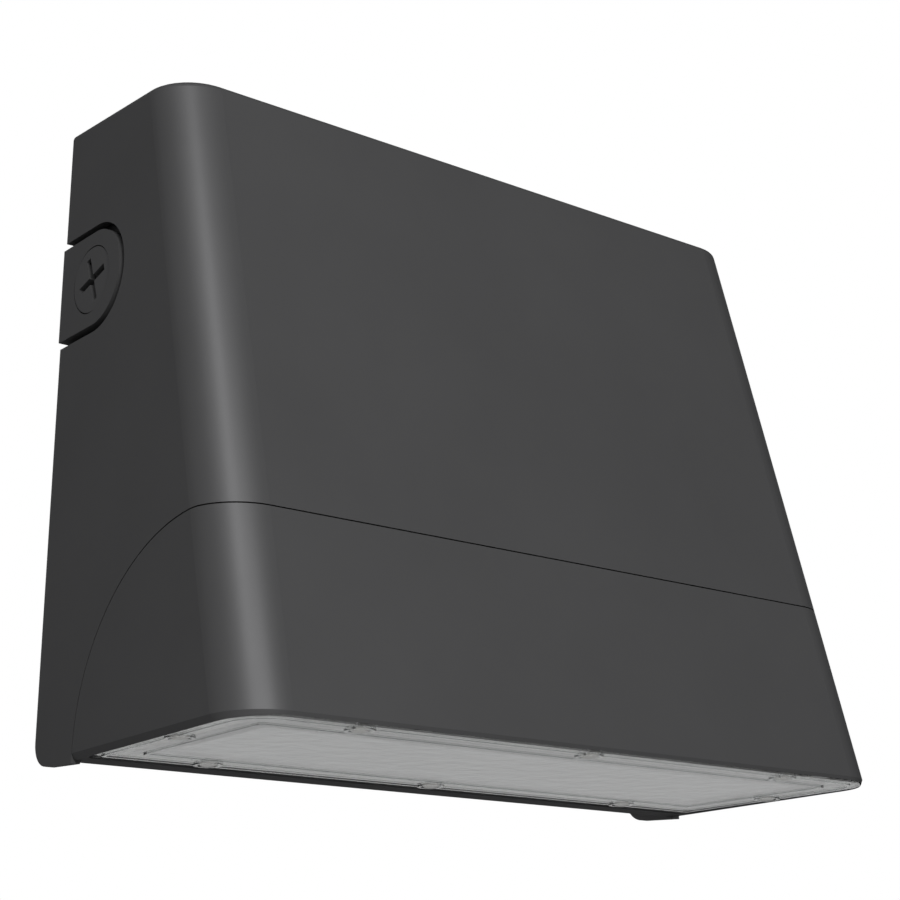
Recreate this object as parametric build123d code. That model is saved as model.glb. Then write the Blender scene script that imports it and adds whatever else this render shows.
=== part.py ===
"""Full-cutoff LED wall pack light: a die-cast wedge that hangs on a wall and shines straight down.

Millimetres, +Z up, +X to the right as seen from the front. The wall is the plane Y = 0 and the light
stands out towards -Y. The model is worked out with depths measured out from the wall and heights up
from the bottom rim, and written with its origin at the wire entry, in the wall's plane.
"""
import os
from math import radians, sqrt, tan

from build123d import *

# ---- driving sizes -------------------------------------------------------------------------------

# outer form
height = 200.0               # foot to top, at the wall side
back_half_width = 115.5      # half the width of the back edge at the top
flare_down = 0.021           # half width gained per millimetre downwards
flare_out = 0.03             # half width gained per millimetre away from the wall
reveal = 1.0                 # the housing's back edge stands this far off the wall
top_depth = 62.5             # wall to front face, at the top
bottom_depth = 112.0         # wall to front face, at the bottom
top_fall = 0.05              # the top falls towards the front, so that rain runs off
rim_base = 1.0               # height of the light door's rim, carried back to the wall side
rim_rise = 0.018             # the rim rises towards the front
corner_radius = 15.0         # the two tall front corners
top_edge_radius = 2.5
rim_band = 1.8               # height of the chamfered band round the rim
rim_band_depth = 1.0
lobe_base = 1.6              # foot of the side walls behind the light door, at the wall side
lobe_rise = -0.05            # their lower edge falls towards the front
lobe_radius = 7.5            # bottom back corners of the side walls
casting_wall = 3.0
rib_size = (2.0, 3.5)        # width and height of the ribs inside the housing
rib_x = 50.0

# seam between the housing and the light door
seam_height = 61.5
seam_back_depth = 23.0       # where the seam drops straight down, behind the light door
seam_centre_depth = 86.0     # centre of the quarter ellipse in the side view
seam_foot_height = 3.0
seam_gap = 0.4

# back box
box_gap = 1.2                # between the box and the housing's walls
box_top_gap = 20.0           # from the light's top down to the box
box_height = 94.0
box_depth = 36.5
box_wall = 3.0
plate_thickness = 4.0
plate_low = 10.0
plate_inset = 9.0            # the plate's sides, inside the light's outer form
plate_flange = 18.0          # depth of the flange round the plate's lower half
wire_entry_radius = 11.1     # for a half inch conduit nipple
entry_boss_radius = 16.0
entry_boss_height = 3.0
slot_spacing = 88.9          # screws of a round junction box
slot_length = 12.0
slot_radius = 2.4
wall_screw_spacing = (170.0, 56.0)
wall_screw_radius = 2.75
wall_boss_radius = 7.0
wall_boss_height = 2.0
wall_gasket = (4.0, 2.0)     # width and depth of its groove
wall_gasket_inset = 10.0
gasket_gap = 0.1
box_gasket_height = 2.6
ground_screw_x = -60.0
ground_screw_up = 18.0       # above the bottom of the box
ground_screw_radius = 2.0
ground_screw_hole = 6.0
ground_screw_flange = (4.6, 0.8)   # radius and thickness
ground_screw_hexagon = (3.5, 2.8)  # half its width across flats, and its height
ground_screw_slot = (1.0, 1.2)     # width and depth
ground_screw_length = 5.5
ground_boss = (5.0, 4.0)     # radius and height

# conduit bosses and their closure plugs
plug_radius = 10.65          # half inch pipe thread
plug_drop = 34.4             # from the top of the box down to the plug's axis
plug_depth = 18.8
plug_length = 8.0
plug_clearance = 0.1
plug_chamfer = 0.4
boss_radius = 15.0
boss_depth = 20.6            # centre of the boss's round front end
boss_proud = 0.3
boss_back = 0.2
slot_gap = 2.25              # round the boss, in the housing's side
inner_boss_radius = 13.8
inner_boss_length = 7.0
shoulder_radius = 8.2
cross_length = 14.5
cross_width = 2.3
cross_depth = 2.5
cross_turn = 17.5            # degrees
seal_thickness = 1.6

# hinge
pin_height = 11.5
pin_depth = 11.0
pin_radius = 2.5
pin_clearance = 0.05
pin_skin = 2.0               # metal left outside the pin, in the lobe
pin_chamfer = 0.4
ear_radius = 5.5
ear_length = 6.0
ear_foot_cut = 1.0           # the ear's foot is this much thinner on both sides, and higher
hinge_gap = 0.6
lobe_boss_length = 5.0
lobe_boss_radius = 6.0

# closing screws, their lugs and clamp plates
closing_x = 70.0
closing_depth = 12.5
closing_radius = 2.5
closing_head_radius = 4.6
closing_head_height = 2.6
closing_length = 15.0
closing_cross = (5.2, 1.1, 1.4)    # length, width and depth of its drive
closing_boss_radius = 7.5
closing_clearance = 0.2
lug_drop = 7.0               # from the light's top down to the lug
lug_thickness = 4.0
lug_width = 22.0
lug_reach = 20.0
lug_clearance = 0.7          # under the housing's boss
lug_plate_inset = 20.0
clamp_size = (16.0, 14.0, 4.0)
clamp_corner = 1.5
clamp_clearance = 0.3

# lens, gasket, reflector, diffuser and LED board, on the lens's plane, just inside the rim
lens_base = 1.75             # height of the lens's outer face, carried back to the wall side
lens_rise = 0.012            # it rises towards the front
lens_thickness = 3.0
lens_edge = 1.0              # thickness of the lens's outermost edge
lens_step = 1.6              # width of that edge, where the sloping front leaves less room
lens_gap = 0.3
rim_width = 1.8              # front and sides
lip_depth = 20.0             # back edge of the light door's lip, between the side walls' feet
lip_gap = 0.5                # between the lip and those side walls
rim_width_back = 8.0         # from the lip's edge to the lens
lens_corner_back = 4.0
lens_gasket_height = 1.2
lens_gasket_width = 8.0
chamber_inset = 9.0          # walls of the optical chamber, inside the lens's edge
chamber_height = 11.0        # lens's outer face to the ceiling of the optical chamber
deck_thickness = 4.0
lens_screw_inset = 5.6       # from the lens's edge
lens_screw_x = 82.0
lens_screw_radius = 1.5
lens_screw_length = 10.0
lens_screw_head = (2.8, 2.0) # radius and height
lens_boss_radius = 4.2
lens_boss_height = 0.5
lens_rib = (1.0, 0.4)        # width and height of the raised ribs
lens_rib_insets = (3.0, 11.5)
reflector_thickness = 1.0
window_insets = (15.6, 18.0, 14.0)  # sides, front and back of the window, inside the lens's edge
diffuser_lap = 4.0
diffuser_thickness = 2.0
board_insets = (5.0, 4.0)    # ends and sides of the board, inside the window's
board_thickness = 1.6
led_size = (3.0, 3.0, 0.8)
led_columns = 12
led_rows = 3
led_pitch = (15.0, 12.0)
board_screw_insets = (6.0, 5.0)
board_screw = (1.5, 2.6, 1.6)   # thread radius, head radius, head height
fin_thickness = 2.0
fin_pitch = 12.0
fin_count = 13
fin_depths = (34.0, 78.0)
fin_top = 42.0
deck_hole = (-79.0, 54.0, 4.5)  # x, depth and radius

# driver tray, driver and leads
tray_gap = 0.3               # between the tray and the box gasket
tray_thickness = 1.2
tray_lap = 2.0               # of the tray's long edges, past the box
tray_edge = (8.0, 6.0)       # the bent edges' inset from the tray's ends, and their height
tray_wall_gap = 0.7
tray_post_radius = 4.5
tray_post_x = 92.0
tray_post_inset = 14.0       # from the tray's long edges
driver_size = (118.0, 24.0, 40.0)
driver_round = 3.0
driver_foot = (9.0, 2.5, 22.0)
grommet_x = 84.0
grommet_radius = 8.0
grommet_flange = 1.5         # the grommet's flanges, past the hole in the tray
grommet_hole = 4.6
grommet_half = 2.2
lead_radius = 1.2
lead_pitch = 2.8
lead_rise = 13.0             # the leads leave the driver this far in front of the tray
connector_pitch = 14.0
connector_length = 20.0
connector_radius = 5.5
connector_tip = 3.4          # radius of its closed end
screw_radius = 1.7
screw_head = (3.4, 2.2)
screw_length = 9.0
screw_clearance = 0.05

# fixings between the light door and the housing
front_post_x = 92.0
front_post_back = 28.0       # behind the rim's front edge
side_post = (103.0, 46.0)    # x and depth
post_radius = 5.0
pad_thickness = 5.0
pad_half = 7.0
pad_reach = 20.0             # from its screw to beyond the wall that carries the pad

front_slope = (bottom_depth - top_depth) / height
box_high = height - box_top_gap
box_low = box_high - box_height
mount_height = (box_low + box_high) / 2     # centre of the wire entry
lug_top = height - lug_drop
plug_height = box_high - plug_drop
ground_screw_place = (ground_screw_x, box_low + ground_screw_up)
tray_front = box_depth + box_gasket_height + tray_gap + tray_thickness
tray_back = tray_front - tray_thickness
tray_heights = (box_low - tray_lap, box_high + tray_lap)
tray_post_heights = (tray_heights[0] + tray_post_inset, tray_heights[1] - tray_post_inset)
supply_exit = driver_size[0] / 2
lead_depth = tray_front + lead_rise
front_post = (front_post_x, bottom_depth - front_post_back)


# ---- the light's outer form ----------------------------------------------------------------------

def half_width(depth, z):
    """Half the light's width, at a depth from the wall and a height above the rim."""
    return back_half_width + flare_down * (height - z) + flare_out * (depth - reveal)


def top_height(depth):
    return height - top_fall * (depth - reveal)


def rim_height(depth):
    return rim_base + rim_rise * (depth - reveal)


def lens_height(depth):
    return lens_base + lens_rise * (depth - reveal)


def seam_top(depth):
    """Height of the seam in the side view."""
    share = max(0.0, (seam_centre_depth - depth) / (seam_centre_depth - seam_back_depth))
    return seam_foot_height + (seam_height - seam_foot_height) * sqrt(1 - share ** 2)


def block(corners):
    """A solid with six flat faces. corners: (half width, depth, height) of the four corners of its side
    view, in order. The left side mirrors the right."""
    right = [Vector(x, -depth, z) for x, depth, z in corners]
    left = [Vector(-x, -depth, z) for x, depth, z in corners]
    faces = [Face(Wire.make_polygon(right)), Face(Wire.make_polygon(left))]
    for i in range(4):
        j = (i + 1) % 4
        faces.append(Face(Wire.make_polygon([right[i], right[j], left[j], left[i]])))
    return Solid(Shell(faces))


def wedge(inset=0.0, back=reveal, floor=0.0, rise=0.0):
    """The light's outer form with its top, front and sides moved inwards by inset. Its floor, at the
    wall side, is a height, and rises towards the front."""
    front = top_depth - inset * sqrt(1 + front_slope ** 2)
    side = inset * sqrt(1 + flare_down ** 2 + flare_out ** 2)
    top = height - inset * sqrt(1 + top_fall ** 2)
    front_top = (front + front_slope * (height - top - top_fall * reveal)) / (1 - front_slope * top_fall)
    front_low = (front + front_slope * (height - floor + rise * reveal)) / (1 + front_slope * rise)
    places = [
        (back, top - top_fall * (back - reveal)),
        (front_top, top - top_fall * (front_top - reveal)),
        (front_low, floor + rise * (front_low - reveal)),
        (back, floor + rise * (back - reveal)),
    ]
    return block([(half_width(depth, z) - side, depth, z) for depth, z in places])


def rounded_wedge(inset=0.0, back=reveal, floor=0.0, rise=0.0):
    """The wedge with its two tall front corners rounded."""
    form = wedge(inset, back, floor, rise)
    tall = form.edges().filter_by(lambda e: abs(e.tangent_at(0.5).Z) > 0.9).sort_by(Axis.Y)
    return fillet(tall[:2], corner_radius - inset)


def housing_form():
    """The outside of the upper housing, down to the feet of its side walls."""
    form = rounded_wedge(0, reveal, lobe_base, lobe_rise)
    back_edges = form.edges().filter_by(lambda e: e.center().Y > -reveal - 0.01)
    form = fillet(back_edges.sort_by(Axis.Z)[0], lobe_radius)
    top_edges = form.faces().sort_by(Axis.Z)[-1].edges()
    return fillet(top_edges.filter_by(lambda e: e.center().Y < -reveal - 1), top_edge_radius)


def light_door_form():
    """The outside of the light door, with the chamfered band round its rim."""
    form = rounded_wedge(0, reveal, rim_base, rim_rise)
    rim = form.faces().sort_by(Axis.Z)[0]
    rim_edges = rim.edges().filter_by(lambda e: e.center().Y < -reveal - 1)
    return chamfer(rim_edges, rim_band_depth, rim_band, reference=rim)


def tapered(inset, depths, heights):
    """A block between two depths and two heights, whose sides follow the light's sides at an inset."""
    side = inset * sqrt(1 + flare_down ** 2 + flare_out ** 2)
    near, far = depths
    low, high = heights
    places = [(near, high), (far, high), (far, low), (near, low)]
    return block([(half_width(depth, z) - side, depth, z) for depth, z in places])


def along_x(radius, x, length, depth, z):
    """A round bar that starts at x and runs in the direction of length."""
    return extrude(Plane.YZ.offset(x) * Pos(-depth, z) * Circle(radius), length)


def along_y(radius, x, z, near, far):
    """A round bar between two depths."""
    return extrude(Plane.XZ.offset(near) * Pos(x, z) * Circle(radius), far - near)


def along_z(radius, x, depth, low, high):
    return extrude(Pos(x, -depth, low) * Circle(radius), high - low)


def both_sides(solid):
    """The solid and its mirror image on the other side."""
    return [solid, mirror(solid, Plane.YZ)]


def side_profile(radius, depth, z, back):
    """The D of a conduit boss in the side view: round in front, straight back to the wall."""
    straight = Pos(-(depth + back) / 2, z) * Rectangle(depth - back, 2 * radius)
    return Plane.YZ * (Pos(-depth, z) * Circle(radius) + straight)


def light_door_side(gap):
    """Everything below the seam, as a bar across the light, with its upper edge moved down by gap."""
    across = seam_centre_depth - seam_back_depth - gap
    up = seam_height - seam_foot_height - gap
    foot = seam_back_depth + gap
    far = bottom_depth + corner_radius
    with BuildPart() as bar:
        with BuildSketch(Plane.YZ):
            with BuildLine():
                EllipticalCenterArc((-seam_centre_depth, seam_foot_height), across, up, arc_size=90)
                Polyline(
                    (-seam_centre_depth, seam_foot_height + up),
                    (-far, seam_foot_height + up),
                    (-far, -corner_radius),
                    (-foot, -corner_radius),
                    (-foot, seam_foot_height),
                )
            make_face()
        extrude(amount=bottom_depth + back_half_width, both=True)
    return bar.part


def screw(place, head, thread_radius, length):
    """A pan-head screw. place: its plane, at the underside of the head, pointing along the thread."""
    head_radius, head_height = head
    crown = extrude(Circle(head_radius), -head_height)
    crown = chamfer(crown.edges().sort_by(Axis.Z)[0], head_height / 3)
    return place * (crown + extrude(Circle(thread_radius), length))


# ---- upper housing -------------------------------------------------------------------------------

def fixing_places():
    """The right-hand fixings: x, depth, height of the seat, and the pad's reach sideways and forwards."""
    side_seat = seam_top(side_post[1] + pad_half) + seam_gap
    return [(*front_post, seam_height, pad_half, pad_reach), (*side_post, side_seat, pad_reach, pad_half)]


def fixing_pads():
    """Pads inside the housing, on its front and side walls, that the light door is screwed to."""
    inside = rounded_wedge(casting_wall / 2, reveal, -height)
    pads = []
    for x, depth, seat, aside, forwards in fixing_places():
        corner = Pos(x - pad_half, -depth + pad_half, seat)
        low_corner = (Align.MIN, Align.MAX, Align.MIN)
        pad = corner * Box(pad_half + aside, pad_half + forwards, pad_thickness, align=low_corner)
        hole = along_z(screw_radius + screw_clearance, x, depth, seat - 1, seat + pad_thickness + 1)
        pads += both_sides((pad & inside) - hole)
    return pads


def tray_posts():
    """Posts from the front wall back to the driver tray, each with a blind screw hole."""
    inside = rounded_wedge(casting_wall / 2, reveal, -height)
    hole_end = tray_front + screw_length
    posts = []
    for z in tray_post_heights:
        post = along_y(tray_post_radius, tray_post_x, z, tray_front, bottom_depth) & inside
        hole = along_y(screw_radius + screw_clearance, tray_post_x, z, tray_front - 1, hole_end)
        posts += both_sides(post - hole)
    return posts


def closing_boss_low():
    return lug_top + lug_clearance


def closing_seat():
    """Height of the seat under a closing screw's head, sunk in the housing's top."""
    return top_height(closing_depth) - closing_head_height - closing_clearance


def lobe_boss():
    """Boss inside the lobe at the foot of the side wall, with the hinge pin's blind hole."""
    outside = half_width(pin_depth, pin_height)
    root = outside - casting_wall / 2
    tip = outside - casting_wall - lobe_boss_length
    boss = along_x(lobe_boss_radius, root, tip - root, pin_depth, pin_height)
    hole = along_x(pin_radius, outside - pin_skin, tip - outside, pin_depth, pin_height)
    return boss, hole


def closing_boss():
    """Boss under the top for a closing screw, and its hole with a seat sunk for the head."""
    root = height - casting_wall / 2
    boss = along_z(closing_boss_radius, closing_x, closing_depth, closing_boss_low(), root)
    shank = closing_radius + closing_clearance
    head = closing_head_radius + closing_clearance
    hole = along_z(shank, closing_x, closing_depth, closing_boss_low() - 1, height)
    return boss, hole + along_z(head, closing_x, closing_depth, closing_seat(), height + 1)


def housing():
    shell = housing_form() - rounded_wedge(casting_wall, 0, -height)
    rib_width, rib_height = rib_size
    ribs = wedge(casting_wall / 2, reveal, seam_height) - wedge(casting_wall + rib_height, 0, 0)
    for x in (-rib_x, rib_x):
        shell += ribs & (Pos(x, -bottom_depth / 2, height / 2) * Box(rib_width, bottom_depth, height))
    shell -= light_door_side(0)
    slot = side_profile(boss_radius + slot_gap, boss_depth, plug_height, -1)
    shell -= extrude(slot, bottom_depth * 2, both=True)
    for solid in tray_posts() + fixing_pads():
        shell += solid
    for boss, hole in (lobe_boss(), closing_boss()):
        for side_boss, side_hole in zip(both_sides(boss), both_sides(hole)):
            shell = shell + side_boss - side_hole
    return shell


# ---- light door, lens and what lies between them --------------------------------------------------

def lens_plane(up=0.0):
    """The plane of the lens's outer face: local x across, local y to the wall, z up into the light."""
    origin = (0, -reveal, lens_base)
    return Plane(origin=origin, x_dir=(1, 0, 0), z_dir=(0, lens_rise, 1)).offset(up)


def lens_corners(inset):
    """Half width and depth of the lens's back and front corners, on the lens's plane."""
    back = lip_depth + rim_width_back + inset
    front = bottom_depth - rim_width - inset
    side = rim_width + inset
    return (half_width(back, 0) - side, back - reveal), (half_width(front, 0) - side, front - reveal)


def lens_outline(inset):
    """The lens's outline, moved inwards by inset."""
    (back_x, back), (front_x, front) = lens_corners(inset)
    corners = [(-back_x, -back), (back_x, -back), (front_x, -front), (-front_x, -front)]
    sheet = make_face(Polyline(*corners, close=True))
    corners = sheet.vertices().sort_by(Axis.Y)
    sheet = fillet(corners[:2], max(corner_radius - rim_width - inset, 1.0))
    corners = sheet.vertices().sort_by(Axis.Y)
    return fillet(corners[-2:], max(lens_corner_back - inset, 1.0))


def on_lens(sketch, low, high):
    """A sketch drawn on the lens's plane, as a slab between two heights above that plane."""
    return extrude(lens_plane(low) * sketch, high - low)


def lens_screw_places():
    """Local x and y of the eight lens screws: three in front, three behind and one at each side."""
    (back_x, back), (front_x, front) = lens_corners(lens_screw_inset)
    middle = (back + front) / 2
    rows = [(x, -y) for y in (back, front) for x in (-lens_screw_x, 0.0, lens_screw_x)]
    side_x = (back_x + front_x) / 2
    return rows + [(-side_x, -middle), (side_x, -middle)]


def lip():
    """The light door's lip, behind its back wall and between the feet of the housing's side walls."""
    near, far = lip_depth, seam_back_depth + seam_gap + casting_wall
    side = casting_wall + lip_gap
    top = seam_foot_height + casting_wall / 2
    places = [(near, top), (far, top), (far, rim_height(far)), (near, rim_height(near))]
    return block([(half_width(near, 0) - side, depth, z) for depth, z in places])


def light_door():
    body = (light_door_form() & light_door_side(seam_gap)) + lip()
    inner_back = seam_back_depth + seam_gap + casting_wall
    deck = lens_base + chamber_height + deck_thickness
    body -= rounded_wedge(casting_wall, inner_back, deck, lens_rise)
    fins = light_door_side(seam_gap + casting_wall)
    for i in range(fin_count):
        x = (i - (fin_count - 1) / 2) * fin_pitch
        depth = sum(fin_depths) / 2
        fin = Pos(x, -depth, (deck + fin_top) / 2 - 1) * Box(
            fin_thickness, fin_depths[1] - fin_depths[0], fin_top - deck + 2)
        body += fin & fins
    for x, depth, seat, *_ in fixing_places():
        post = along_z(post_radius, x, depth, deck - casting_wall, seat)
        hole = along_z(screw_radius + screw_clearance, x, depth, seat - screw_length, seat + 1)
        for solid in both_sides(post - hole):
            body += solid
    body -= on_lens(lens_outline(-lens_gap), -casting_wall, lens_edge)
    body -= on_lens(lens_outline(lens_step - lens_gap), 0, lens_thickness + lens_gasket_height)
    body -= on_lens(lens_outline(chamber_inset), 0, chamber_height)
    places = Locations(*lens_screw_places())
    holes = Sketch() + [place * Circle(lens_screw_radius + screw_clearance) for place in places]
    body -= on_lens(holes, 0, lens_screw_length + lens_thickness)
    thread = board_screw[0] + screw_clearance
    board_holes = Sketch() + [place * Circle(thread) for place in board_screws_at()]
    body -= on_lens(board_holes, 0, chamber_height + deck_thickness + 1)
    x, depth, radius = deck_hole
    return body - along_z(radius, x, depth, chamber_height - 1, deck + deck_thickness)


def lens():
    plate = on_lens(lens_outline(0), 0, lens_edge) + on_lens(lens_outline(lens_step), 0, lens_thickness)
    width, rise = lens_rib
    for inset in lens_rib_insets:
        ring = lens_outline(inset) - lens_outline(inset + width)
        plate += on_lens(ring, -rise, 0)
    places = Locations(*lens_screw_places())
    bosses = Sketch() + [place * Circle(lens_boss_radius) for place in places]
    plate += on_lens(bosses, -lens_boss_height, 0)
    head_radius, head_height = lens_screw_head
    heads = Sketch() + [place * Circle(head_radius + lens_gap) for place in places]
    plate -= on_lens(heads, -lens_boss_height - 1, head_height - lens_boss_height)
    holes = Sketch() + [place * Circle(lens_screw_radius + lens_gap / 2) for place in places]
    return plate - on_lens(holes, 0, lens_thickness + 1)


def lens_gasket():
    ring = lens_outline(lens_step + lens_gap) - lens_outline(lens_gasket_width)
    holes = [place * Circle(lens_screw_radius + lens_gap) for place in Locations(*lens_screw_places())]
    return on_lens(ring - holes, lens_thickness, lens_thickness + lens_gasket_height)


def lens_screws():
    seat = lens_plane(lens_screw_head[1] - lens_boss_height)
    return [screw(seat * Pos(x, y), lens_screw_head, lens_screw_radius, lens_screw_length)
            for x, y in lens_screw_places()]


def window_form():
    """The window's centre, on the lens's plane, and its length and width."""
    (back_x, back), (_, front) = lens_corners(0)
    side, ahead, behind = window_insets
    near, far = back + behind, front - ahead
    return Pos(0, -(near + far) / 2), 2 * (back_x - side), far - near


def window(grow):
    centre, length, width = window_form()
    return centre * Rectangle(length + 2 * grow, width + 2 * grow)


def reflector():
    """The pale frame on the lens's inner side, round the window."""
    frame = lens_outline(chamber_inset + lens_gap) - window(0)
    return on_lens(frame, lens_thickness, lens_thickness + reflector_thickness)


def diffuser():
    low = lens_thickness + reflector_thickness
    return on_lens(window(diffuser_lap), low, low + diffuser_thickness)


def board_form():
    """The board's centre, on the lens's plane, and its length and width."""
    centre, length, width = window_form()
    return centre, length - 2 * board_insets[0], width - 2 * board_insets[1]


def board_screws_at():
    centre, length, width = board_form()
    x, y = length / 2 - board_screw_insets[0], width / 2 - board_screw_insets[1]
    return [centre * Pos(sx * x, sy * y) for sx in (-1, 1) for sy in (-1, 1)]


def led_board():
    centre, length, width = board_form()
    holes = [place * Circle(board_screw[0] + screw_clearance) for place in board_screws_at()]
    board = centre * Rectangle(length, width) - holes
    return on_lens(board, chamber_height - board_thickness, chamber_height)


def leds():
    high = chamber_height - board_thickness
    length, width, thickness = led_size
    grid = board_form()[0] * GridLocations(*led_pitch, led_columns, led_rows)
    return [on_lens(place * Rectangle(length, width), high - thickness, high) for place in grid]


def board_screws():
    radius, head_radius, head_height = board_screw
    low = chamber_height - board_thickness
    length = board_thickness + deck_thickness
    return [screw(lens_plane(low) * place, (head_radius, head_height), radius, length)
            for place in board_screws_at()]


def door_screws():
    """The four screws that hold the light door to the housing, heads on the pads."""
    made = []
    for x, depth, seat, *_ in fixing_places():
        place = Plane(origin=(x, -depth, seat + pad_thickness), x_dir=(1, 0, 0), z_dir=(0, 0, -1))
        made += both_sides(screw(place, screw_head, screw_radius, pad_thickness + screw_length - 1))
    return made


# ---- back box ------------------------------------------------------------------------------------

def boss_face():
    """X of the conduit boss's outer face, at the plug's axis."""
    return half_width(plug_depth, plug_height) + boss_proud


def plug_face():
    """X of the closure plug's outer face, about flush with its boss."""
    return half_width(plug_depth, plug_height) + boss_proud / 2


def box_side():
    """Inset of the box's side walls from the light's outer form."""
    return casting_wall + box_gap


def conduit_boss():
    """The D-shaped boss that fills the cut-out in the housing's side, and its threaded hole."""
    outside = wedge(-boss_proud, 0, 0)
    start = boss_face() - casting_wall - box_gap - box_wall
    profile = Pos(start, 0, 0) * side_profile(boss_radius, boss_depth, plug_height, boss_back)
    boss = extrude(profile, corner_radius) & outside
    inner_length = inner_boss_length + box_wall
    return boss + along_x(inner_boss_radius, start + box_wall, -inner_length, plug_depth, plug_height)


def conduit_hole():
    bore_length = plug_length + seal_thickness + 2 * gasket_gap
    bore_end = plug_face() - bore_length
    bore = along_x(plug_radius, bore_end, bore_length + 5, plug_depth, plug_height)
    return bore + along_x(shoulder_radius, bore_end + 1, -corner_radius, plug_depth, plug_height)


def closing_lug():
    """Shelf at the top of the plate, with a slot open to the front for the closing screw."""
    slot_half = closing_radius + 2 * closing_clearance
    at_wall = (Align.CENTER, Align.MAX, Align.MAX)
    shelf = Pos(closing_x, 0, lug_top) * Box(lug_width, lug_reach, lug_thickness, align=at_wall)
    slot = along_z(slot_half, closing_x, closing_depth, lug_top - lug_thickness - 1, lug_top + 1)
    mouth = Box(2 * slot_half, lug_reach, lug_thickness + 2, align=at_wall)
    return shelf - slot - Pos(closing_x, -closing_depth, lug_top + 1) * mouth


def box_casting():
    """The plate against the wall, the flange round its lower half, and the open box on its upper half."""
    plate = tapered(plate_inset, (0, plate_thickness), (plate_low, box_low + box_wall))
    plate += tapered(lug_plate_inset, (0, plate_thickness), (box_high - box_wall, lug_top))
    flange = tapered(plate_inset, (0, plate_flange), (plate_low, box_low + 1))
    hollow_low = plate_low + box_wall
    flange -= tapered(plate_inset + box_wall, (-1, plate_flange + 1), (hollow_low, box_low + 2))
    box = tapered(box_side(), (0, box_depth), (box_low, box_high))
    hollow = (box_low + box_wall, box_high - box_wall)
    box -= tapered(box_side() + box_wall, (plate_thickness, box_depth + 1), hollow)
    return box + plate + flange


def hinge_ear():
    """Ear at the foot of the plate, on its foot, and the hole for the hinge pin."""
    outside = half_width(pin_depth, pin_height) - casting_wall - lobe_boss_length - hinge_gap
    ear = along_x(ear_radius, outside, -ear_length, pin_depth, pin_height)
    middle = Pos(outside - ear_length / 2, -pin_depth / 2, pin_height + ear_foot_cut)
    foot = middle * Box(ear_length, pin_depth, 2 * (ear_radius - ear_foot_cut))
    hole_length = ear_length + box_wall + 2
    hole = along_x(pin_radius + pin_clearance, outside + 1, -hole_length, pin_depth, pin_height)
    return ear + foot, hole


def back_box():
    body = box_casting()
    for solid, hole in ((conduit_boss(), conduit_hole()), hinge_ear()):
        for side_solid, side_hole in zip(both_sides(solid), both_sides(hole)):
            body = body + side_solid - side_hole
    for lug in both_sides(closing_lug()):
        body += lug
    body += along_y(entry_boss_radius, 0, mount_height, 0, plate_thickness + entry_boss_height)
    body += along_y(ground_boss[0], *ground_screw_place, 0, plate_thickness + ground_boss[1])
    for x, z in wall_screw_places():
        body += along_y(wall_boss_radius, x, z, 0, plate_thickness + wall_boss_height)
    return body - back_box_holes() - wall_gasket_ring(0)


def wall_screw_places():
    x, z = wall_screw_spacing[0] / 2, wall_screw_spacing[1] / 2
    return [(sx * x, mount_height + sz * z) for sx in (-1, 1) for sz in (-1, 1)]


def back_box_holes():
    """The wire entry, the two slots for a junction box, the four wall screw holes, the ground screw's."""
    through = plate_thickness + 10
    holes = along_y(wire_entry_radius, 0, mount_height, -1, through)
    for x, z in wall_screw_places():
        holes += along_y(wall_screw_radius, x, z, -1, through)
    for sx in (-1, 1):
        slot = Pos(sx * slot_spacing / 2, mount_height) * SlotOverall(slot_length, 2 * slot_radius)
        holes += extrude(Plane.XZ.offset(-1) * slot, through)
    depth = plate_thickness + ground_boss[1]
    thread = ground_screw_radius + screw_clearance
    return holes + along_y(thread, *ground_screw_place, depth - ground_screw_hole, depth + 1)


def wall_gasket_ring(gap):
    """The strip in a groove round the box's back, gap narrower on each side than the groove."""
    width, depth = wall_gasket
    low, high = box_low + wall_gasket_inset, box_high - wall_gasket_inset
    inset = box_side() + wall_gasket_inset
    out = tapered(inset + gap, (-1 if gap == 0 else 0, depth), (low + gap, high - gap))
    return out - tapered(inset + width - gap, (-2, depth + 1), (low + width - gap, high - width + gap))


def box_gasket():
    depths = (box_depth, box_depth + box_gasket_height)
    ring = tapered(box_side() + gasket_gap, depths, (box_low + gasket_gap, box_high - gasket_gap))
    hole = tapered(box_side() + box_wall - gasket_gap, (depths[0] - 1, depths[1] + 1),
                   (box_low + box_wall - gasket_gap, box_high - box_wall + gasket_gap))
    return ring - hole


def ground_screw():
    x, z = ground_screw_place
    depth = plate_thickness + ground_boss[1]
    place = Plane(origin=(x, -depth, z), x_dir=(1, 0, 0), z_dir=(0, 1, 0))
    flange_radius, flange_thickness = ground_screw_flange
    half_flats, hexagon_height = ground_screw_hexagon
    slot_width, slot_depth = ground_screw_slot
    body = extrude(place * Circle(flange_radius), -flange_thickness)
    hexagon = place.offset(-flange_thickness) * RegularPolygon(half_flats, 6, major_radius=False)
    body += extrude(hexagon, -hexagon_height)
    slot = place.offset(slot_depth - flange_thickness - hexagon_height) * Rectangle(
        slot_width, 3 * half_flats)
    body -= extrude(slot, -slot_depth - 1)
    return body + extrude(place * Circle(ground_screw_radius), ground_screw_length)


# ---- closure plugs and hinge pins ----------------------------------------------------------------

def closure_plug():
    face = plug_face()
    plug = along_x(plug_radius - plug_clearance, face, -plug_length, plug_depth, plug_height)
    plug = chamfer(plug.edges().filter_by(GeomType.CIRCLE), plug_chamfer)
    arms = Rectangle(cross_length, cross_width) + Rectangle(cross_width, cross_length)
    cross = Plane.YZ.offset(face + 1) * Pos(-plug_depth, plug_height) * Rot(0, 0, -cross_turn) * arms
    return plug - extrude(cross, -cross_depth - 1)


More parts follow.
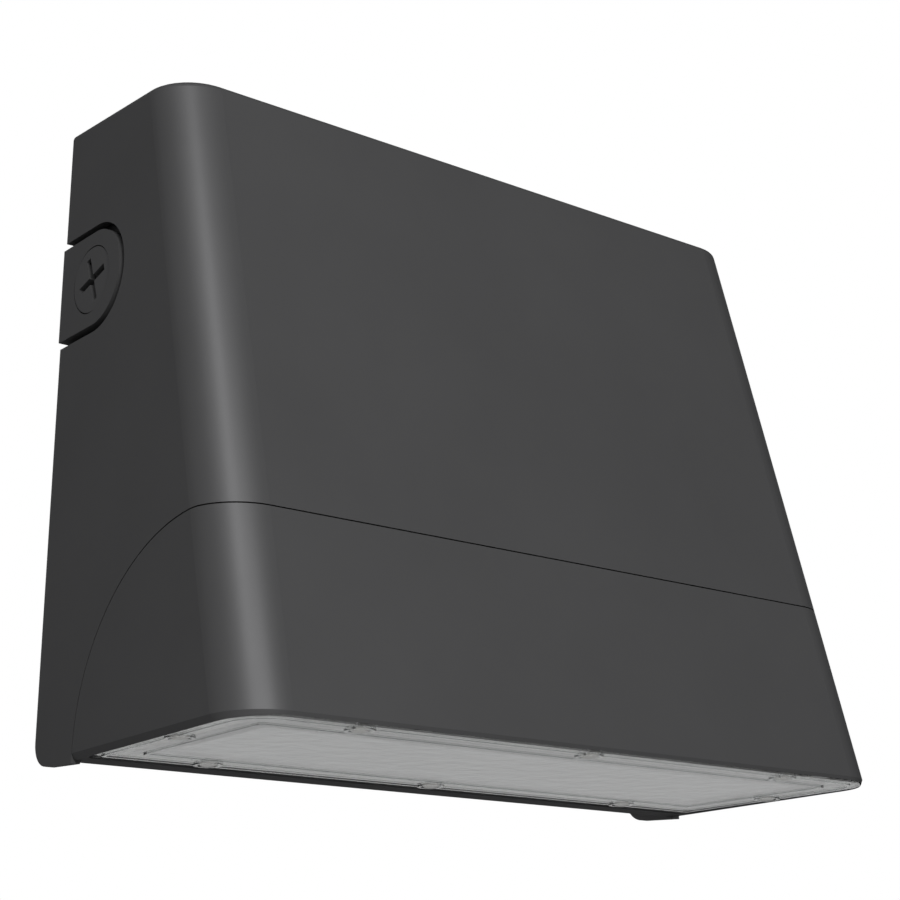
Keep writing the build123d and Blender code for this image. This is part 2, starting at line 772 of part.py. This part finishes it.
def plug_seal():
    x = plug_face() - plug_length - gasket_gap
    ring = along_x(plug_radius - plug_clearance, x, -seal_thickness, plug_depth, plug_height)
    hole_radius = shoulder_radius + plug_clearance
    return ring - along_x(hole_radius, x + 1, -seal_thickness - 2, plug_depth, plug_height)


def hinge_pin():
    outside = half_width(pin_depth, pin_height)
    ear_end = outside - casting_wall - lobe_boss_length - hinge_gap - ear_length
    start = outside - pin_skin
    pin = along_x(pin_radius, start, ear_end - start, pin_depth, pin_height)
    return chamfer(pin.edges().filter_by(GeomType.CIRCLE), pin_chamfer)


# ---- closing screws ------------------------------------------------------------------------------

def closing_screw():
    place = Plane(origin=(closing_x, -closing_depth, closing_seat()), x_dir=(1, 0, 0), z_dir=(0, 0, -1))
    body = screw(place, (closing_head_radius, closing_head_height), closing_radius, closing_length)
    length, width, depth = closing_cross
    arms = Rectangle(length, width) + Rectangle(width, length)
    return body - extrude(place.offset(-closing_head_height - 1) * arms, depth + 1)


def clamp_plate():
    width, depth, thickness = clamp_size
    high = lug_top - lug_thickness - clamp_clearance
    low = high - thickness
    plate = Pos(closing_x, -closing_depth, (low + high) / 2) * Box(width, depth, thickness)
    plate = fillet(plate.edges().filter_by(Axis.Z), clamp_corner)
    return plate - along_z(closing_radius + screw_clearance, closing_x, closing_depth, low - 1, high + 1)


# ---- driver tray, driver and leads ---------------------------------------------------------------

def driver_tray():
    """Steel plate with its long edges bent forward. It closes the box and carries the driver."""
    inset = casting_wall + tray_wall_gap
    low, high = tray_heights
    sheet = tapered(inset, (tray_back, tray_front), tray_heights)
    edge_inset, edge_height = tray_edge
    for edge in ((low, low + tray_thickness), (high - tray_thickness, high)):
        sheet += tapered(inset + edge_inset, (tray_back, tray_front + edge_height), edge)
    sheet -= along_y(grommet_radius - grommet_flange, grommet_x, mount_height, 0, bottom_depth)
    post_places = [(x, z) for x in (-tray_post_x, tray_post_x) for z in tray_post_heights]
    for x, z in post_places + driver_screw_places():
        sheet -= along_y(screw_radius + screw_clearance, x, z, 0, bottom_depth)
    return sheet


def driver_screw_places():
    x = driver_size[0] / 2 + driver_foot[0] / 2
    return [(-x, mount_height), (x, mount_height)]


def driver():
    length, depth, tall = driver_size
    case = Pos(0, -tray_front - depth / 2, mount_height) * Box(length, depth, tall)
    case = fillet(case.edges().filter_by(Axis.X), driver_round)
    foot_length, foot_thickness, foot_tall = driver_foot
    feet = Pos(0, -tray_front - foot_thickness / 2, mount_height) * Box(
        length + 2 * foot_length, foot_thickness, foot_tall)
    body = case + fillet(feet.edges().filter_by(Axis.Y), driver_round)
    for x, z in driver_screw_places():
        body -= along_y(screw_radius + screw_clearance, x, z, 0, tray_front + foot_thickness + 1)
    return body


def driver_screws():
    depth = tray_front + driver_foot[1]
    return [screw(Plane(origin=(x, -depth, z), x_dir=(1, 0, 0), z_dir=(0, 1, 0)), screw_head, screw_radius,
                  driver_foot[1] + tray_thickness + 1) for x, z in driver_screw_places()]


def tray_screws():
    made = []
    for z in tray_post_heights:
        place = Plane(origin=(tray_post_x, -tray_back, z), x_dir=(1, 0, 0), z_dir=(0, -1, 0))
        made += both_sides(screw(place, screw_head, screw_radius, screw_length))
    return made


def lead_grommet():
    """Rubber ring in the tray's hole, its flanges on both sides of the sheet."""
    middle = (tray_front + tray_back) / 2
    body = along_y(grommet_radius, grommet_x, mount_height, middle - grommet_half, middle + grommet_half)
    neck = grommet_radius - grommet_flange - gasket_gap
    groove_ends = (tray_back - gasket_gap, tray_front + gasket_gap)
    groove = along_y(grommet_radius + 1, grommet_x, mount_height, *groove_ends)
    groove -= along_y(neck, grommet_x, mount_height, tray_back - 1, tray_front + 1)
    return body - groove - along_y(grommet_hole, grommet_x, mount_height, 0, bottom_depth)


def lead(points):
    """A lead along straight runs joined by arcs as large as the runs allow."""
    route = [Vector(x, -depth, z) for x, depth, z in points]
    radii = []
    for before, corner, after in zip(route, route[1:], route[2:]):
        turn = (corner - before).get_angle(after - corner)
        run = min((corner - before).length, (after - corner).length)
        radii.append(0.45 * run / tan(radians(turn / 2)))
    path = FilletPolyline(*route, radius=radii)
    print("lead radii", [round(r, 1) for r in radii], "length", round(path.length, 1))
    section = Plane(origin=route[0], z_dir=route[1] - route[0]) * Circle(lead_radius)
    return sweep(section, path=path)


def supply_route(i):
    """Driver, through the grommet, into the back box. i is -1, 0 or 1."""
    z = mount_height + i * lead_pitch
    fan = mount_height + i * connector_pitch
    return [
        (supply_exit, lead_depth, z),
        (grommet_x, lead_depth, z),
        (grommet_x, 20.0, z),
        (56.0, 18.0, fan),
        (28.0, 20.0, fan + i),
    ]


def led_route(i):
    """Driver, down behind the front, through the deck to the LED board. i is -1 or 1."""
    x, depth, _ = deck_hole
    x += i * lead_pitch / 2
    start = mount_height - i * lead_pitch / 2
    end = chamber_height + lens_height(depth) + gasket_gap
    return [
        (-supply_exit, lead_depth, start),
        (x, lead_depth, start),
        (x + 0.5, lead_depth + 3.0, 101.0),
        (x + 0.5, lead_depth + 4.0, 69.0),
        (x, depth, 40.0),
        (x, depth, end),
    ]


def connectors():
    """Twist-on wire connectors on the ends of the supply leads."""
    made = []
    for i in (-1, 0, 1):
        before, tip = [Vector(x, -depth, z) for x, depth, z in supply_route(i)[-2:]]
        plane = Plane(origin=tip, z_dir=tip - before).offset(connector_length / 2)
        made.append(plane * Cone(connector_radius, connector_tip, connector_length))
    return made


# ---- every sub-part, by its node's name ----------------------------------------------------------

def pair(name, solid):
    """The same piece on the right and, mirrored, on the left."""
    right, left = both_sides(solid)
    return {name + "_right": right, name + "_left": left}


def parts():
    nodes = {
        "back_box": back_box(),
        "wall_gasket": wall_gasket_ring(gasket_gap),
        "box_gasket": box_gasket(),
        "ground_screw": ground_screw(),
        "housing": housing(),
        "light_door": light_door(),
        "door_screws": door_screws(),
        "lens": lens(),
        "lens_gasket": lens_gasket(),
        "lens_screws": lens_screws(),
        "reflector": reflector(),
        "diffuser": diffuser(),
        "led_board": led_board(),
        "leds": leds(),
        "board_screws": board_screws(),
        "driver_tray": driver_tray(),
        "tray_screws": tray_screws(),
        "driver": driver(),
        "driver_screws": driver_screws(),
        "lead_grommet": lead_grommet(),
        "supply_lead_black": lead(supply_route(-1)),
        "supply_lead_white": lead(supply_route(0)),
        "supply_lead_green": lead(supply_route(1)),
        "wire_connectors": connectors(),
        "led_lead_red": lead(led_route(-1)),
        "led_lead_black": lead(led_route(1)),
    }
    nodes.update(pair("closure_plug", closure_plug()))
    nodes.update(pair("plug_seal", plug_seal()))
    nodes.update(pair("hinge_pin", hinge_pin()))
    nodes.update(pair("closing_screw", closing_screw()))
    nodes.update(pair("clamp_plate", clamp_plate()))
    return nodes


os.makedirs("parts", exist_ok=True)
to_origin = Pos(0, 0, -mount_height)
for node, solid in parts().items():
    pieces = solid if isinstance(solid, list) else [solid]
    export_step(Compound(children=[to_origin * piece for piece in pieces]), f"parts/{node}.step")
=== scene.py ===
"""Wall pack light, as it looks: dark grey castings, a clear lens under them and the gear inside.

Metres, +Z up, +X to the right as seen from the front. The wall is the plane y = 0 and the origin is
the centre of the wire entry. The sections follow the light as it is put together.
"""
from math import cos, pi, radians, sin

import bmesh
import bpy
from mathutils import Matrix, Vector


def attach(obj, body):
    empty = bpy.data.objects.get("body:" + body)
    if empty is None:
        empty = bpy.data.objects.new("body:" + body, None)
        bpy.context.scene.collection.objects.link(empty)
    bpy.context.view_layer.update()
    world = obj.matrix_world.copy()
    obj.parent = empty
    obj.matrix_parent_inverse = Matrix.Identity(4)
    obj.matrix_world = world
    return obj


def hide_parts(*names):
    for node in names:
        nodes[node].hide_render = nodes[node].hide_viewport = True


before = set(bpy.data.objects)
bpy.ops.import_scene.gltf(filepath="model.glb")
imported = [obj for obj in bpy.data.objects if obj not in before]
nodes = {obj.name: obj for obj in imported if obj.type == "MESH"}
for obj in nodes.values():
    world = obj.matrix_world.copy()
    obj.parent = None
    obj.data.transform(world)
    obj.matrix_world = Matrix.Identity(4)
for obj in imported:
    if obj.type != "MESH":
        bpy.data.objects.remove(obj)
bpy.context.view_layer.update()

# ---- back box ------------------------------------------------------------------------------------
# The casting that is screwed to the wall: plate, box, conduit bosses and hinge ears. Die-cast
# aluminium with a satin dark grey powder coat, which has a fine orange-peel skin.


def new_material(name, roughness=0.5, metallic=0.0):
    """A node material. Returns it with its tree, its Principled BSDF and its Object coordinates."""
    material = bpy.data.materials.new(name)
    material.use_nodes = True
    tree = material.node_tree
    surface = tree.nodes["Principled BSDF"]
    surface.inputs["Roughness"].default_value = roughness
    surface.inputs["Metallic"].default_value = metallic
    place = tree.nodes.new("ShaderNodeTexCoord").outputs["Object"]
    return material, tree, surface, place


def new_group(name, inputs, outputs):
    """An empty shader node group. Inputs are name, kind and start value; outputs name and kind."""
    tree = bpy.data.node_groups.new(name, "ShaderNodeTree")
    for socket, kind, value in inputs:
        made = tree.interface.new_socket(socket, in_out="INPUT", socket_type=f"NodeSocket{kind}")
        if value is not None:
            made.default_value = value
    for socket, kind in outputs:
        tree.interface.new_socket(socket, in_out="OUTPUT", socket_type=f"NodeSocket{kind}")
    given = tree.nodes.new("NodeGroupInput").outputs
    out = tree.nodes.new("NodeGroupOutput").inputs
    return tree, given, out


def use_group(tree, group, place, **values):
    """The group placed in a material, with its Vector wired to place and its other inputs set."""
    node = tree.nodes.new("ShaderNodeGroup")
    node.node_tree = group
    tree.links.new(place, node.inputs["Vector"])
    for socket, value in values.items():
        node.inputs[socket].default_value = value
    return node.outputs


def noise(tree, place, scale, detail=3.0, roughness=0.5):
    """Noise from 0 to 1. The scale is per metre, as a number or as a socket."""
    node = tree.nodes.new("ShaderNodeTexNoise")
    tree.links.new(place, node.inputs["Vector"])
    if isinstance(scale, float):
        node.inputs["Scale"].default_value = scale
    else:
        tree.links.new(scale, node.inputs["Scale"])
    node.inputs["Detail"].default_value = detail
    node.inputs["Roughness"].default_value = roughness
    return node.outputs["Fac"]


def spread(tree, value, low, high):
    """A value from 0 to 1, brought to the range from low to high."""
    node = tree.nodes.new("ShaderNodeMapRange")
    tree.links.new(value, node.inputs["Value"])
    node.inputs["To Min"].default_value = low
    node.inputs["To Max"].default_value = high
    return node.outputs["Result"]


def tinted(tree, surface, mask, dark, light):
    """Base Color between two colours, by a mask from 0 to 1."""
    node = tree.nodes.new("ShaderNodeMix")
    node.data_type = "RGBA"
    tree.links.new(mask, node.inputs["Factor"])
    node.inputs["A"].default_value = (*dark, 1.0)
    node.inputs["B"].default_value = (*light, 1.0)
    tree.links.new(node.outputs["Result"], surface.inputs["Base Color"])


def bumped(tree, surface, height, depth):
    """Bump of a depth in metres on the surface."""
    node = tree.nodes.new("ShaderNodeBump")
    node.inputs["Distance"].default_value = depth
    tree.links.new(height, node.inputs["Height"])
    tree.links.new(node.outputs["Normal"], surface.inputs["Normal"])


def paint(node, material):
    """The CAD node's surface in one material."""
    mesh = nodes[node].data
    mesh.materials.clear()
    mesh.materials.append(material)


# Orange peel about 1.2 mm across, a slow drift of tone, and a fine speckle for the gloss.
speckle_scale = 2600.0
coat_group, given, out = new_group(
    "powder_skin",
    [("Vector", "Vector", None), ("Peel", "Float", 800.0), ("Drift", "Float", 18.0)],
    [("Peel", "Float"), ("Drift", "Float"), ("Speckle", "Float")],
)
peel = noise(coat_group, given["Vector"], given["Peel"], detail=2.0)
drift = noise(coat_group, given["Vector"], given["Drift"], detail=4.0, roughness=0.6)
speckle = noise(coat_group, given["Vector"], speckle_scale, detail=1.0)
coat_group.links.new(peel, out["Peel"])
coat_group.links.new(drift, out["Drift"])
coat_group.links.new(speckle, out["Speckle"])

# Half metallic and with a weak sheen, so that a white surrounding doesn't wash out the dark grey.
peel_depth = 0.000006
coat, tree, surface, place = new_material("powder_coat", metallic=0.5)
surface.inputs["Specular IOR Level"].default_value = 0.0
surface.inputs["Specular Tint"].default_value = (0.3, 0.3, 0.3, 1.0)
skin = use_group(tree, coat_group, place)
tinted(tree, surface, skin["Drift"], dark=(0.052, 0.052, 0.053), light=(0.062, 0.062, 0.063))
tree.links.new(spread(tree, skin["Speckle"], low=0.42, high=0.48), surface.inputs["Roughness"])
bumped(tree, surface, skin["Peel"], peel_depth)
paint("back_box", coat)

# ---- gaskets of the box --------------------------------------------------------------------------
# A strip of closed-cell foam in a groove at the wall, and a thicker one between box and tray. Both
# are cut from black sheet, and the screws press them tight.

cell_group, given, out = new_group(
    "foam_cells",
    [("Vector", "Vector", None), ("Size", "Float", 1400.0)],
    [("Cells", "Float")],
)
bubbles = cell_group.nodes.new("ShaderNodeTexVoronoi")
cell_group.links.new(given["Vector"], bubbles.inputs["Vector"])
cell_group.links.new(given["Size"], bubbles.inputs["Scale"])
cell_group.links.new(bubbles.outputs["Distance"], out["Cells"])

cell_depth = 0.0002
foam, tree, surface, place = new_material("foam_rubber", roughness=0.95)
cells = use_group(tree, cell_group, place)["Cells"]
tinted(tree, surface, cells, dark=(0.010, 0.010, 0.010), light=(0.030, 0.030, 0.031))
bumped(tree, surface, cells, cell_depth)
for gasket in ("wall_gasket", "box_gasket"):
    paint(gasket, foam)

# ---- ground screw --------------------------------------------------------------------------------
# Green hex screw in the box for the ground wire. It is turned from steel, passivated green, and
# shows fine turning marks.

grain_group, given, out = new_group(
    "metal_grain",
    [("Vector", "Vector", None), ("Stretch", "Vector", (1.0, 1.0, 1.0)),
     ("Fineness", "Float", 900.0)],
    [("Grain", "Float"), ("Cloud", "Float")],
)
cloud_scale = 120.0
stretched = grain_group.nodes.new("ShaderNodeVectorMath")
stretched.operation = "MULTIPLY"
grain_group.links.new(given["Vector"], stretched.inputs[0])
grain_group.links.new(given["Stretch"], stretched.inputs[1])
grain = noise(grain_group, stretched.outputs["Vector"], given["Fineness"])
cloud = noise(grain_group, given["Vector"], cloud_scale, detail=4.0, roughness=0.6)
grain_group.links.new(grain, out["Grain"])
grain_group.links.new(cloud, out["Cloud"])

grain_depth = 0.00001


def metal(name, dark, light, roughness, stretch=(1.0, 1.0, 1.0)):
    """Bare or plated metal: cloudy tone, grain in the roughness and a fine bump."""
    material, tree, surface, place = new_material(name, metallic=1.0)
    grain = use_group(tree, grain_group, place, Stretch=stretch)
    tinted(tree, surface, grain["Cloud"], dark, light)
    tree.links.new(spread(tree, grain["Grain"], *roughness), surface.inputs["Roughness"])
    bumped(tree, surface, grain["Grain"], grain_depth)
    return material


green_steel = metal(
    "green_screw", dark=(0.02, 0.19, 0.06), light=(0.05, 0.28, 0.10), roughness=(0.30, 0.50))
paint("ground_screw", green_steel)

# ---- plug seals and closure plugs ----------------------------------------------------------------
# Each side boss is closed by a threaded plug with a cross recess, on a silicone ring. The plugs are
# die-cast and coated like the box.

soft_skin_depth = 0.00003
silicone, tree, surface, place = new_material("silicone", roughness=0.55)
tinted(tree, surface, noise(tree, place, 60.0), dark=(0.50, 0.50, 0.48), light=(0.62, 0.62, 0.60))
bumped(tree, surface, noise(tree, place, 700.0), soft_skin_depth)
for side in ("left", "right"):
    paint(f"plug_seal_{side}", silicone)
    paint(f"closure_plug_{side}", coat)

# ---- housing, hinge pins and closing screws ------------------------------------------------------
# The upper casting, coated like the box. It hangs on two stainless pins at its foot, and two
# stainless screws in its top draw zinc plated clamp plates up under the box's lugs.

paint("housing", coat)
steel = metal(
    "stainless_steel", dark=(0.46, 0.45, 0.43), light=(0.60, 0.59, 0.57), roughness=(0.22, 0.36))
zinc = metal(
    "zinc_steel", dark=(0.50, 0.52, 0.54), light=(0.66, 0.68, 0.70), roughness=(0.30, 0.48))
for side in ("left", "right"):
    paint(f"hinge_pin_{side}", steel)
    paint(f"closing_screw_{side}", steel)
    paint(f"clamp_plate_{side}", zinc)

# ---- light door ----------------------------------------------------------------------------------
# The lower casting, with cooling fins inside and the seat for the lens below. Four zinc plated
# screws hold it to pads in the housing.

paint("light_door", coat)
paint("door_screws", zinc)

# ---- lens, gasket and lens screws ----------------------------------------------------------------
# Clear moulded plate with raised ribs and screw bosses. It lies on a silicone gasket in the light
# door's seat, and eight dull steel screws hold it.

flow_depth = 0.00004
clear, tree, surface, place = new_material("clear_lens", roughness=0.08)
tinted(tree, surface, noise(tree, place, 40.0), dark=(0.90, 0.92, 0.92), light=(0.97, 0.98, 0.98))
surface.inputs["Transmission Weight"].default_value = 1.0
surface.inputs["IOR"].default_value = 1.49
bumped(tree, surface, noise(tree, place, 160.0, detail=2.0), flow_depth)
paint("lens", clear)
paint("lens_gasket", silicone)
dull_steel = metal(
    "lens_screw_steel", dark=(0.24, 0.24, 0.23), light=(0.34, 0.33, 0.32), roughness=(0.25, 0.40))
paint("lens_screws", dull_steel)

# ---- reflector and diffuser ----------------------------------------------------------------------
# A film frame on the lens's inner side, white in itself but painted mid grey as painted shade, so
# the wall of its window reads dark; and the frosted panel over its window, with fine streaks along
# the light.

reflector, tree, surface, place = new_material("white_reflector", roughness=0.35)
# Painted shade: the frame's white is darkened to a mid grey for the shadow at its window wall.
tinted(tree, surface, noise(tree, place, 90.0), dark=(0.30, 0.30, 0.30), light=(0.42, 0.42, 0.42))
paint("reflector", reflector)

streak_depth = 0.00005
frosted, tree, surface, place = new_material("frosted_panel", roughness=0.5)
streaks = use_group(tree, grain_group, place, Stretch=(0.04, 1.0, 1.0), Fineness=700.0)
tinted(tree, surface, streaks["Grain"], dark=(0.26, 0.26, 0.26), light=(0.50, 0.50, 0.50))
bumped(tree, surface, streaks["Grain"], streak_depth)
paint("diffuser", frosted)

# ---- LED board -----------------------------------------------------------------------------------
# White board screwed to the light door's deck, which takes up its heat. The LEDs are soldered to it
# in a grid, under yellow phosphor.

board, tree, surface, place = new_material("white_board", roughness=0.4)
tinted(tree, surface, noise(tree, place, 50.0), dark=(0.74, 0.74, 0.72), light=(0.82, 0.82, 0.80))
paint("led_board", board)
paint("board_screws", zinc)

phosphor, tree, surface, place = new_material("phosphor", roughness=0.25)
tinted(tree, surface, noise(tree, place, 400.0), dark=(0.72, 0.50, 0.06), light=(0.86, 0.64, 0.10))
paint("leds", phosphor)

# ---- driver tray and driver ----------------------------------------------------------------------
# Galvanised sheet that is screwed on to close the box, with the driver in a plain metal case on its
# front. A rubber grommet lines the hole where the leads pass.

galvanised, tree, surface, place = new_material("galvanised_steel", metallic=1.0)
spangle = tree.nodes.new("ShaderNodeTexVoronoi")
spangle.inputs["Scale"].default_value = 130.0
tree.links.new(place, spangle.inputs["Vector"])
facet = tree.nodes.new("ShaderNodeSeparateColor")
tree.links.new(spangle.outputs["Color"], facet.inputs["Color"])
tinted(tree, surface, facet.outputs["Red"], dark=(0.44, 0.46, 0.48), light=(0.62, 0.64, 0.66))
gloss = spread(tree, facet.outputs["Green"], low=0.28, high=0.50)
tree.links.new(gloss, surface.inputs["Roughness"])
paint("driver_tray", galvanised)
for screws in ("tray_screws", "driver_screws"):
    paint(screws, zinc)

case_steel = metal(
    "driver_case", dark=(0.52, 0.53, 0.54), light=(0.62, 0.63, 0.64), roughness=(0.30, 0.42),
    stretch=(0.1, 1.0, 1.0))
paint("driver", case_steel)

rubber, tree, surface, place = new_material("grommet_rubber", roughness=0.7)
bloom = noise(tree, place, 300.0)
tinted(tree, surface, bloom, dark=(0.012, 0.012, 0.012), light=(0.022, 0.022, 0.022))
bumped(tree, surface, noise(tree, place, 900.0), soft_skin_depth)
paint("lead_grommet", rubber)

# ---- leads and wire connectors -------------------------------------------------------------------
# Stranded leads in smooth plastic: three from the driver back into the box, where twist-on
# connectors join them to the building's wires, and two down to the LED board.

insulation_depth = 0.00001


def insulation(name, dark, light):
    """Smooth plastic over the strands of a lead."""
    material, tree, surface, place = new_material(name, roughness=0.42)
    tinted(tree, surface, noise(tree, place, 240.0), dark, light)
    bumped(tree, surface, noise(tree, place, 1200.0), insulation_depth)
    return material


entry_height = 0.133         # of the wire entry, above the foot
lead_radius = 0.0012
lead_depth = 0.0536          # from the wall to the leads at the driver
driver_end = 0.059           # from the middle to either end of the driver
grommet_at = 0.084           # from the middle to the grommet
deck_hole_at = -0.079
supply_spacing = 0.0028
connector_spacing = 0.014
connector_splay = 0.001


def supply_route(i):
    """Driver, through the grommet, into the back box. i is -1, 0 or 1. Points are x, y, z."""
    z = i * supply_spacing
    fan = i * connector_spacing
    return [
        (driver_end, -lead_depth, z),
        (grommet_at, -lead_depth, z),
        (grommet_at, -0.020, z),
        (0.056, -0.018, fan),
        (0.028, -0.020, fan + i * connector_splay),
    ]


def led_route(i):
    """Driver, down behind the front, through the deck to the LED board. i is -1 or 1."""
    x = deck_hole_at + i * supply_spacing / 2
    z = -i * supply_spacing / 2
    return [
        (-driver_end, -lead_depth, z),
        (x, -lead_depth, z),
        (x + 0.0005, -0.0566, 0.101 - entry_height),
        (x + 0.0005, -0.0576, 0.069 - entry_height),
        (x, -0.054, 0.040 - entry_height),
        (x, -0.054, 0.01349 - entry_height),
    ]


def lead(name, route, material):
    """A round lead along a route, which stands for the CAD node of its name."""
    curve = bpy.data.curves.new(name, "CURVE")
    curve.dimensions = "3D"
    spline = curve.splines.new("NURBS")
    spline.points.add(len(route) - 1)
    for point, place in zip(spline.points, route):
        point.co = (*place, 1.0)
    spline.order_u = 3
    spline.use_endpoint_u = True
    spline.resolution_u = 24
    curve.bevel_depth = lead_radius
    curve.bevel_resolution = 5
    curve.use_fill_caps = True
    curve.materials.append(material)
    made = bpy.data.objects.new(f"{name}_wire", curve)
    bpy.context.scene.collection.objects.link(made)
    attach(made, "front")
    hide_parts(name)


lead_colours = {
    "black": insulation("black_lead", dark=(0.010, 0.010, 0.010), light=(0.018, 0.018, 0.018)),
    "white": insulation("white_lead", dark=(0.66, 0.66, 0.64), light=(0.76, 0.76, 0.74)),
    "green": insulation("green_lead", dark=(0.015, 0.17, 0.045), light=(0.025, 0.24, 0.07)),
    "red": insulation("red_lead", dark=(0.34, 0.012, 0.010), light=(0.46, 0.020, 0.016)),
}
connector_plastic, tree, surface, place = new_material("connector_plastic", roughness=0.45)
tinted(tree, surface, noise(tree, place, 200.0), dark=(0.62, 0.17, 0.02), light=(0.74, 0.23, 0.03))
bumped(tree, surface, noise(tree, place, 900.0), soft_skin_depth)

connector_length = 0.020
connector_radius = 0.0055
connector_tip = 0.0034
connector_profile = [        # height above the mouth, and radius
    (0.0, 0.82 * connector_radius),
    (0.0, connector_radius),
    (0.0015, connector_radius),
    (0.0022, connector_radius - 0.0004),
    (0.017, connector_tip + 0.0004),
    (0.0188, connector_tip),
    (0.0196, connector_tip - 0.0010),
    (connector_length, connector_tip - 0.0022),
]
flutes = 16
flute_depth = 0.00035
flutes_from, flutes_to = 0.002, 0.018
steps_round = 6 * flutes


def wire_connector(name, before, mouth):
    """Fluted cone with a rounded tip. It starts at the lead's end and runs on the lead's way."""
    mesh = bmesh.new()
    rings = []
    for height, radius in connector_profile:
        fluted = flutes_from < height < flutes_to
        ring = []
        for step in range(steps_round):
            angle = 2 * pi * step / steps_round
            depth = flute_depth * (0.5 + 0.5 * cos(flutes * angle)) if fluted else 0.0
            reach = radius - depth
            ring.append(mesh.verts.new((reach * cos(angle), reach * sin(angle), height)))
        rings.append(ring)
    for low, high in zip(rings, rings[1:]):
        for step in range(steps_round):
            after = (step + 1) % steps_round
            mesh.faces.new((low[step], low[after], high[after], high[step]))
    mesh.faces.new(rings[0][::-1])
    mesh.faces.new(rings[-1])
    along = (Vector(mouth) - Vector(before)).normalized()
    turn = along.to_track_quat("Z", "Y").to_matrix().to_4x4()
    mesh.transform(Matrix.Translation(mouth) @ turn)
    data = bpy.data.meshes.new(name)
    mesh.to_mesh(data)
    mesh.free()
    data.shade_smooth()
    data.set_sharp_from_angle(angle=radians(40))
    data.materials.append(connector_plastic)
    made = bpy.data.objects.new(name, data)
    bpy.context.scene.collection.objects.link(made)
    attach(made, "front")
    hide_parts("wire_connectors")
    return made


for i, colour, length in ((-1, "black", 0.1065), (0, "white", 0.105), (1, "green", 0.1065)):
    route = supply_route(i)
    connector = wire_connector(f"wire_connector_{colour}", *route[-2:])
    lead(f"supply_lead_{colour}", route, lead_colours[colour])
for i, colour, length in ((-1, "red", 0.1384), (1, "black", 0.1333)):
    lead(f"led_lead_{colour}", led_route(i), lead_colours[colour])

# ---- camera --------------------------------------------------------------------------------------
# It stands to the left of the light and a hand's width below its foot, and looks up at it. It is
# turned and rolled as in the photograph, with a lens that shows the light nearly flat.

camera_place = (-0.413456, -0.537446, -0.214661)
camera_azimuth = radians(-40.0)
camera_height = radians(-16.396)
camera_roll = radians(-0.651)
camera_lens = 84.007
camera_sensor = 36.0
back = Vector((sin(camera_azimuth) * cos(camera_height),
               -cos(camera_azimuth) * cos(camera_height),
               sin(camera_height)))
level = Vector((cos(camera_azimuth), sin(camera_azimuth), 0.0))
upright = back.cross(level)
right = level * cos(camera_roll) + upright * sin(camera_roll)
up = upright * cos(camera_roll) - level * sin(camera_roll)
camera_data = bpy.data.cameras.new("camera")
camera_data.lens = camera_lens
camera_data.sensor_width = camera_sensor
camera = bpy.data.objects.new("camera", camera_data)
turned = Matrix((right, up, back)).transposed().to_4x4()
camera.matrix_world = Matrix.Translation(camera_place) @ turned
bpy.context.scene.collection.objects.link(camera)
bpy.context.scene.camera = camera

# ---- floor, world and lamps ----------------------------------------------------------------------
# A pale floor well below the light, a white surrounding and three soft lamps on the left. The lower
# and the middle one draw the soft streak down the rounded corner.


def seen_directly(tree):
    """1 for camera, glossy and transmission rays, and 0 for light that falls on the object."""
    rays = tree.nodes.new("ShaderNodeLightPath").outputs
    both = tree.nodes.new("ShaderNodeMath")
    both.operation = "MAXIMUM"
    tree.links.new(rays["Is Camera Ray"], both.inputs[0])
    tree.links.new(rays["Is Glossy Ray"], both.inputs[1])
    every = tree.nodes.new("ShaderNodeMath")
    every.operation = "MAXIMUM"
    tree.links.new(both.outputs["Value"], every.inputs[0])
    tree.links.new(rays["Is Transmission Ray"], every.inputs[1])
    return every.outputs["Value"]


floor_height = -0.75
floor_half = 6.0
floor_glow = 0.43            # as it is seen and mirrored; it lights nothing
floor_corners = [(-floor_half, -floor_half, floor_height), (floor_half, -floor_half, floor_height),
                 (floor_half, floor_half, floor_height), (-floor_half, floor_half, floor_height)]
floor_data = bpy.data.meshes.new("floor")
floor_data.from_pydata(floor_corners, [], [(0, 1, 2, 3)])
floor = bpy.data.objects.new("floor", floor_data)
bpy.context.scene.collection.objects.link(floor)
floor_material, tree, surface, place = new_material("floor", roughness=0.8)
tinted(tree, surface, noise(tree, place, 3.0), dark=(0.80, 0.80, 0.80), light=(0.84, 0.84, 0.84))
surface.inputs["Emission Color"].default_value = (1.0, 1.0, 1.0, 1.0)
glow = spread(tree, seen_directly(tree), low=0.0, high=floor_glow)
tree.links.new(glow, surface.inputs["Emission Strength"])
floor_data.materials.append(floor_material)

world = bpy.data.worlds.new("surrounding")
world.use_nodes = True
bpy.context.scene.world = world
tree = world.node_tree
surrounding = tree.nodes["Background"]
surrounding.inputs["Color"].default_value = (1.0, 1.0, 1.0, 1.0)
tree.links.new(seen_directly(tree), surrounding.inputs["Strength"])

lamp_size = 0.45
middle = (0.0, -0.05, -0.03)


def lamp(name, place, power):
    """A square soft lamp that faces the middle of the light. Power is in watts."""
    data = bpy.data.lights.new(name, "AREA")
    data.shape = "SQUARE"
    data.size = lamp_size
    data.energy = power
    made = bpy.data.objects.new(name, data)
    aim = Vector(middle) - Vector(place)
    turned = aim.to_track_quat("-Z", "Y").to_matrix().to_4x4()
    made.matrix_world = Matrix.Translation(place) @ turned
    bpy.context.scene.collection.objects.link(made)


lamp("front", (-0.661, -1.815, 0.518), power=32.0)
lamp("corner", (-1.179, -1.138, 1.147), power=18.0)
lamp("side", (-1.558, -0.506, 1.147), power=3.0)

bpy.context.scene.view_settings.view_transform = "Standard"
